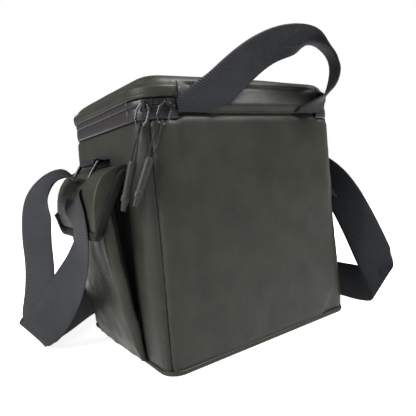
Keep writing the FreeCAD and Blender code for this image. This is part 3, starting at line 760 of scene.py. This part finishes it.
# the shoulder strap's two layers
longWebbing = [
    ((-168, 0, 200.6), (0, 1, 0)), ((-173, 0, 203), (0, 1, 0.05)), ((-180, 3, 206), (0.05, 1, 0.1)),
    ((-189, 11, 204), (0.05, 0.98, 0.12)), ((-199, 27, 192), (-0.15, 0.95, 0.1)),
    ((-206, 39, 172), (-0.4, 0.9, 0.05)), ((-209, 45, 140), (-0.45, 0.89, 0)),
    ((-209, 49, 105), (-0.45, 0.89, 0)), ((-212, 56, 70), (-0.45, 0.87, 0.15)),
    ((-216, 66, 41), (-0.45, 0.8, 0.35)), ((-216, 73, 26), (-0.43, 0.74, 0.53)),
    ((-210, 78, 25), (-0.3, 0.5, 0.8)), ((-198, 84, 25.5), (-0.1, 0.1, 1)), ((-162, 113, 25), (0, 0, 1)),
    ((-118, 154, 25), (0, 0, 1)), ((-64, 180.5, 25), (0, 0, 1)), ((-13, 189, 28.6), (0, 0, 1)),
    ((26, 189.3, 27.5), (0, 0, 1)), ((62, 184, 25), (0, 0, 1)), ((102, 168, 25), (0, 0, 1)),
    ((136, 141, 25), (0, 0, 1)), ((161, 105, 25), (0, 0, 1)), ((176, 57, 25), (0, 0, 1)),
    ((181, -3, 25), (0, 0, 1)), ((178, -63, 25), (0.05, 0, 1)), ((175, -108, 25), (0.1, -0.2, 1)),
    ((174, -131, 25.5), (0.15, -0.4, 0.9)), ((175, -141, 30), (0.25, -0.49, 0.86)),
    ((178, -135, 44), (0.4, -0.5, 0.75)), ((182, -119, 72), (0.5, -0.6, 0.6)),
    ((186, -101, 104), (0.5, -0.7, 0.5)), ((190, -77, 140), (0.4, -0.85, 0.3)),
    ((190, -55, 168), (0.25, -0.95, 0.2)), ((185, -31, 190), (0.1, -1, 0.2)),
    ((178, -12, 202), (0, -1, 0.1)), ((172.5, -2, 204), (0, -1, 0)), ((168, 0, 201.3), (0, -1, 0)),
]
turnedEnd = [
    ((-168.5, 0, 193.4), (0, 1, 0)), ((-173, -3, 187), (0, 1, 0)), ((-179, -11, 176), (0.05, 1, 0)),
    ((-180.5, -25, 160), (0.04, 1, 0.05)), ((-181, -29, 144), (0.03, 1, 0.1)),
    ((-182, -26, 126), (0, 1, 0.12)), ((-185, -12, 106), (-0.15, 1, 0.18)),
    ((-193, 9, 80), (-0.35, 0.85, 0.3)), ((-205, 40, 46), (-0.45, 0.78, 0.45)),
    ((-217, 64, 25), (-0.43, 0.74, 0.53)), ((-221, 76, 20.5), (-0.43, 0.74, 0.53)),
    ((-216, 83, 22), (-0.3, 0.5, 0.8)), ((-201, 90, 25.2), (-0.1, 0.1, 1)), ((-165, 118, 25), (0, 0, 1)),
    ((-120, 159, 25), (0, 0, 1)), ((-65, 187.5, 25), (0, 0, 1)), ((-34, 194.4, 27.5), (0, 0, 1)),
    ((-12, 194.4, 28.6), (0, 0, 1)),
]
strap = {"wide": 49.0, "thick": 1.5, "adjusterAt": 16}
roundBar = [((-165.6, 0, 194.0), (0, 1, 0)), ((-164.9, 0, 197), (0, 1, 0)), ((-165.8, 0, 200.0), (0, 1, 0))]
leftLine = turnedEnd[::-1] + roundBar + longWebbing[:strap["adjusterAt"] + 1]
leftStrap = webbing("leftStrap", leftLine, strap["wide"], strap["thick"], folds=[(5.7, 8), (30, 32.3)])
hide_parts("left_strap_top", "strap_outer_layer", "strap_inner_layer")
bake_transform(leftStrap)
barPlaces = [(165.6, 0, 200), (164.9, 0, 197), (165.6, 0, 194), (169, 0, 193), (174, -3, 197)]
rightLine = longWebbing[strap["adjusterAt"]:] + [(place, (0, -1, 0)) for place in barPlaces]
rightStrap = webbing("rightStrap", rightLine, strap["wide"], strap["thick"], loose=[(7, 15)],
                     folds=[(9.3, 12.2)])
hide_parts("right_strap_top", "strap_long_run")
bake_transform(rightStrap)

ringTab = {"wide": 45.0, "thick": 1.4, "route": [
    (136.9, 226.5), (137.2, 223.5), (138.6, 221.6), (141, 220.9), (146, 220.9), (150.5, 222.0),
    (153.3, 222.2), (155.9, 220.9), (156.5, 219), (155.7, 216.9), (153.3, 215.9), (150.5, 216.6),
    (146, 218.2), (141, 218.7), (138.6, 218.4)]}
for word, sign in sides.items():
    route = [((sign * x, 0, z), (0, 1, 0)) for x, z in ringTab["route"]]
    tab = webbing(word + "RingTab", route, ringTab["wide"], ringTab["thick"], perRun=4)
    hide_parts(word + "_tab_loop")
    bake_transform(tab)
print("webbing made")

# side pockets and their caps
pocket = {
    "panel": 136.4, "half": 62.0, "low": 6.0, "lip": 175.0, "mouth": 189.0, "round": 9.0, "pleat": 15.0,
    "reach": ((0, 5.0), (0.12, 11.0), (0.36, 20.0), (0.7, 28.0), (1.0, 33.0), (1.2, 34.0)),
    "billow": 2.4, "lumps": 1.6, "full": 2.6, "shadeSheetIn": 1.8,
}


def pocketReach(z):
    share = (z - pocket["low"]) / (pocket["lip"] - pocket["low"])
    knots = pocket["reach"]
    for (a, b), (c, d) in zip(knots, knots[1:]):
        if share <= c:
            return mix(b, d, smooth(a, c, share) * 0.4 + (share - a) / (c - a) * 0.6)
    return knots[-1][1]


def pocketSection(z, shareUp):
    # from the side panel out, along the face and back: (out, y, share of the way out)
    reach, half = pocketReach(z), pocket["half"]
    bend = min(pocket["round"], reach * 0.6)
    points = []
    for i in range(13):
        t = i / 12
        out = t * (reach - bend)
        tuck = pocket["pleat"] * sin(pi * min(1, t * 1.15)) ** 2 * smooth(0, 0.25, shareUp)
        points.append((out, -half + tuck, out / reach))
    for i in range(1, 9):
        a = pi / 2 * i / 8
        out = reach - bend + bend * sin(a)
        points.append((out, -half + bend - bend * cos(a), 1 - (1 - sin(a)) * bend / reach))
    for i in range(1, 29):
        y = mix(-half + bend, half - bend, i / 29)
        billow = pocket["billow"] * sin(y / 17 + 0.8) * bell((shareUp - 0.5), 0.32)
        billow += pocket["lumps"] * wobble((y * 1.6, 0, z), 30, 4)
        full = pocket["full"] * (1 - (y / half) ** 4) * (1 - shareUp * 0.6) * smooth(0, 0.15, shareUp)
        points.append((reach + billow + full, y, 1.0))
    return points + [(a, -b, c) for a, b, c in reversed(points[:21])]


for word, sign in sides.items():
    rows, count = [], 44
    for r in range(-1, count + 1):
        up = max(r, 0) / count
        row = []
        for out, y, share in pocketSection(mix(pocket["low"], pocket["lip"], up), up):
            top = mix(pocket["mouth"], pocket["lip"], share)
            z = mix(pocket["low"], top, up)
            if r < 0:
                out, y, z = out * 0.05, y * 0.97, z - 1.2
            row.append((sign * (pocket["panel"] + out), y * -sign if sign > 0 else y, z))
        rows.append(row)
    shell = thicken(loft(word + "PocketShell", rows, gatheredTwill, wrap=False), body["cloth"], 0.0)
    settle(shell, "bag_body", "pocket_fabric", word + "_pocket")
    for tag, picked in (("Near", slice(0, 13)), ("Far", slice(-13, None))):     # dark sheets of painted shade in the pleats, let into both ends
        inner = pocket["shadeSheetIn"]
        strip = [[(x, y + copysign(inner, y), z) for x, y, z in row[picked]] for row in rows]
        shadeSheet = thicken(loft(word + "PaintedShadeSheet" + tag, strip, paintedShadeCloth, wrap=False), 0.6, 0.0)
        settle(shadeSheet, "bag_body", "pocket_fabric")
    edge = rows[-1]
    hem = sweep(word + "PocketHem", edge, roundProfile(3.0, 5.0, 10), grosgrain)
    settle(hem, "bag_body", "binding", word + "_pocket_hem")
    below = [(sign * (abs(x) + 1.2), y, z - 4.6) for x, y, z in edge[14:-14]]
    stitchRun(word + "PocketStitch", below, "bag_body", "binding")

flap = {
    "panel": 136.3, "half": 65.0, "bend": 2.6, "crown": 2.2, "cut": 15.0, "cutWide": 26.0, "cloth": 1.8,
    # the flap's fall and its wings' free edge: (out from the panel, height)
    "fall": [(0.4, 213.5), (6, 213), (14, 211.5), (22, 208.5), (29, 203), (34.5, 195), (38, 186), (40.2, 176),
             (41.2, 165), (41.6, 153), (41.2, 141)],
    "wingTop": (2.0, 207), "wingEnd": (38.0, 141.5),
    # section of the edge tape: (inward, outward)
    "tape": ((-0.8, 0), (-0.5, 1.3), (1.5, 1.5), (8.0, 1.4), (8.6, 0.4), (8.0, -1.9), (1.5, -2.0),
             (-0.5, -1.6)),
}


def flapLine(share):
    at = share * (len(flap["fall"]) - 1)
    i = min(int(at), len(flap["fall"]) - 2)
    a, b = flap["fall"][i], flap["fall"][i + 1]
    return mix(a[0], b[0], at - i), mix(a[1], b[1], at - i)


for word, sign in sides.items():
    rows, count = [], 40
    for r in range(count + 1):
        up = r / count
        out, z = flapLine(up)
        innerOut, innerZ = (mix(a, b, up) for a, b in zip(flap["wingTop"], flap["wingEnd"]))
        half, bend = flap["half"], min(flap["bend"], 2 + out * 0.5)
        row = []
        for i in range(9):      # the near wing, from its free edge to the corner
            t = i / 8
            a, c = mix(innerOut, out - bend * 0.5, t), mix(innerZ, z, t)
            row.append((a, -half - 0.8 * sin(pi * t), c))
        for i in range(1, 7):
            a = pi / 2 * i / 6
            row.append((out - bend * 0.5 + bend * 0.5 * sin(a), -half + bend * (1 - cos(a)), z))
        for i in range(1, 31):
            y = mix(-half + bend, half - bend, i / 31)
            crown = flap["crown"] * (1 - (y / half) ** 2) * sin(pi * min(1, up * 0.9))
            crown += 0.9 * wobble((y, 0, z), 28, 7)
            row.append((out + crown, y, z))
        row += [(a, -b, c) for a, b, c in reversed(row[:15])]
        # the front lower corner is cut round
        wide = flap["cutWide"]
        row = [(a, b, c + up ** 5 * flap["cut"] * max(0.0, (b - half + wide) / wide) ** 2) for a, b, c in row]
        rows.append([(sign * (flap["panel"] + a), b, c) for a, b, c in row])
    shell = thicken(loft(word + "FlapShell", rows, gatheredTwill, wrap=False), flap["cloth"])
    settle(shell, word + "_flap", "pocket_fabric", word + "_flap")
    # edge tape, folded over the free edge of wings and front
    border = [row[0] for row in rows] + rows[-1][1:-1] + [row[-1] for row in reversed(rows)]
    inside = [row[2] for row in rows] + rows[-4][1:-1] + [row[-3] for row in reversed(rows)]
    bandRows = []
    for i, (edge, towards) in enumerate(zip(border, inside)):
        edge, towards = Vector(edge), Vector(towards)
        before, after = Vector(border[max(i - 1, 0)]), Vector(border[min(i + 1, len(border) - 1)])
        inward = towards - edge
        along = (after - before).normalized()
        inward = (inward - along * inward.dot(along)).normalized()
        face = along.cross(inward).normalized()
        bandRows.append([edge + inward * a + face * b for a, b in flap["tape"]])
    band = loft(word + "FlapTape", bandRows, grosgrain, capStart=True, capEnd=True)
    settle(band, word + "_flap", "binding", word + "_flap_binding")
print("pockets made")


def roundedPad(name, low, high, finish, roundness=3.0, puff=1.0, parts=14, seed=1):
    # a box of cushion stuff: edges rounded and faces swollen a little
    centre = (Vector(low) + Vector(high)) / 2
    half = (Vector(high) - Vector(low)) / 2
    points, faces, index = [], [], {}

    def vertex(key):
        if key not in index:
            p = Vector([k / parts * 2 - 1 for k in key])
            place = Vector([p[i] * half[i] for i in range(3)])
            core = Vector([max(-half[i] + roundness, min(half[i] - roundness, place[i]))
                           if half[i] > roundness else 0 for i in range(3)])
            away = place - core
            if away.length > 1e-6:
                place = core + away.normalized() * min(roundness, min(half))
            thin = min(range(3), key=lambda i: half[i])
            others = [i for i in range(3) if i != thin]
            full = prod(max(0.0, 1 - abs(p[i]) ** 4) for i in others)
            place[thin] += copysign(puff * full, p[thin]) * (abs(p[thin]) > 0.99)
            place += Vector((1, 1, 1)) * 0.25 * wobble(place, 18, seed)
            index[key] = len(points)
            points.append(centre + place)
        return index[key]

    for axis, end, i, j in product(range(3), (0, parts), range(parts), range(parts)):
        corners = []
        for a, b in ((0, 0), (1, 0), (1, 1), (0, 1)):
            key = [0, 0, 0]
            key[axis], key[(axis + 1) % 3], key[(axis + 2) % 3] = end, i + a, j + b
            corners.append(vertex(tuple(key)))
        faces.append(tuple(corners))
    return outward(makeMesh(name, points, faces, finish))


def nodeBox(node):
    low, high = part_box(node)
    return [v / mm for v in low], [v / mm for v in high]


loopPatch = {"out": 168.6, "thick": 1.2, "half": 38, "low": 143, "high": 166}
for word, sign in sides.items():
    low, high = nodeBox(word + "_divider")
    divider = roundedPad(word + "Divider", low, high, brushedKnit, 4.5, 1.0, 22, 3 + sign)
    settle(divider, word + "_divider", "lining", word + "_divider")
    low, high = nodeBox(word + "_hook_patch")
    low, high = [low[0] + 1, low[1], low[2]], [high[0] - 1, high[1], high[2]]
    hooks = roundedPad(word + "HookPatch", low, high, loopPile, 0.8, 0.1, 10, 5)
    settle(hooks, word + "_flap", "hook_and_loop", word + "_hook_patch")
    x = sign * loopPatch["out"]
    across = (x, x + sign * loopPatch["thick"])
    low = [min(across), -loopPatch["half"], loopPatch["low"]]
    high = [max(across), loopPatch["half"], loopPatch["high"]]
    loops = roundedPad(word + "LoopPatch", low, high, loopPile, 0.6, 0.1, 10, 6)
    settle(loops, "bag_body", "hook_and_loop", "loop_patches")

# the metal and moulded parts keep their own meshes
for node, finish in {
    "side_slider": lacqueredZinc, "back_slider": lacqueredZinc, "side_pull_loop": blackNickel,
    "back_pull_loop": blackNickel, "left_strap_ring": blackNickel, "right_strap_ring": blackNickel,
    "strap_adjuster": mouldedAcetal, "side_pull_grip": mouldedGrip, "back_pull_grip": mouldedGrip,
}.items():
    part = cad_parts[node]
    part.data.materials.clear()
    part.data.materials.append(finish)

pullCords = {
    "side": {"body": "side_pull", "route": [
        (-142.9, -95.8, 213.6), (-141.3, -98.5, 222.2), (-139.9, -100.4, 232.5), (-138.8, -101.4, 241.4),
        (-136.9, -102.1, 249.3), (-133.6, -98.7, 249.0), (-135.7, -96.8, 241.5), (-139.0, -94.8, 233.2),
        (-142.7, -93.3, 223.4), (-145.5, -92.9, 214.8)]},
    "back": {"body": "back_pull", "route": [
        (-130.4, -107.6, 215.4), (-126.8, -109.9, 223.4), (-123.6, -112.0, 233.3), (-121.3, -113.4, 241.9),
        (-118.8, -114.0, 249.6), (-118.1, -109.2, 250.0), (-121.7, -107.9, 242.8), (-126.2, -107.2, 234.9),
        (-130.9, -106.8, 225.5), (-134.0, -107.0, 216.9)]},
}
for word, pull in pullCords.items():
    curve = bpy.data.curves.new(word + "PullCord", "CURVE")
    curve.dimensions = "3D"
    line = curve.splines.new("NURBS")
    line.points.add(len(pull["route"]) - 1)
    for point, place in zip(line.points, pull["route"]):
        point.co = (*(Vector(place) * mm), 1.0)
    line.order_u = 3
    line.use_endpoint_u = True
    curve.bevel_depth = 0.9 * mm
    curve.bevel_resolution = 3
    curve.resolution_u = 8
    curve.use_fill_caps = True
    curve.materials.append(braidedCord)
    cordPiece = intoScene(word + "PullCord", curve)
    settle(cordPiece, pull["body"], "pull_cord", word + "_pull_cord")
    ends = [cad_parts[word + "_pull_grip"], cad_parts[word + "_pull_loop"]]
print("pulls made")

# plain studio: pale floor, three soft lamps, even sky
studio = {
    "halfFloor": 9000, "floor": "#c4c4c3", "floorGlow": 0.87, "world": "#ffffff", "worldStrength": 0.22,
    "lamps": [
        # name, place, aim, size, watts
        ("keyLamp", (-1.5, 0.1, 1.0), (-0.1, 0, 0.15), 1.0, 62),
        ("backLamp", (-0.2, -1.0, 1.9), (0, -0.1, 0.25), 1.3, 16),
        ("topLamp", (0.65, -0.65, 1.6), (0, -0.1, 0.28), 1.1, 92),
    ],
}
floorFinish = bpy.data.materials.new("paleFloor")     # matt seamless paper
floorFinish.use_nodes = True
paper = floorFinish.node_tree.nodes["Principled BSDF"]
paper.inputs["Base Color"].default_value = toLinear(studio["floor"])
paper.inputs["Roughness"].default_value = 0.9
paper.inputs["Emission Color"].default_value = toLinear(studio["world"])
paper.inputs["Emission Strength"].default_value = studio["floorGlow"]
far = studio["halfFloor"]
corners = [(-far, -far, 0), (far, -far, 0), (far, far, 0), (-far, far, 0)]
floor = makeMesh("studioFloor", corners, [(0, 1, 2, 3)], floorFinish)
for name, place, aim, size, watts in studio["lamps"]:
    lamp = bpy.data.lights.new(name, "AREA")
    lamp.energy, lamp.size = watts, size
    holder = intoScene(name, lamp)
    holder.location = place
    holder.rotation_euler = (Vector(aim) - Vector(place)).to_track_quat("-Z", "Y").to_euler()
world = bpy.data.worlds.new("studioWorld")
bpy.context.scene.world = world
world.use_nodes = True
sky = world.node_tree.nodes["Background"]
sky.inputs["Color"].default_value = toLinear(studio["world"])
sky.inputs["Strength"].default_value = studio["worldStrength"]
seen = addNode(world.node_tree, "ShaderNodeLightPath")
seenSky = addNode(world.node_tree, "ShaderNodeBackground", {
    "Color": toLinear(studio["world"]), "Strength": 1.0})
pick = addNode(world.node_tree, "ShaderNodeMixShader", {}, {
    0: (seen, "Is Camera Ray"), 1: (sky, 0), 2: (seenSky, 0)})
world.node_tree.links.new(pick.outputs[0], world.node_tree.nodes["World Output"].inputs["Surface"])
bpy.context.scene.view_settings.view_transform = "Standard"
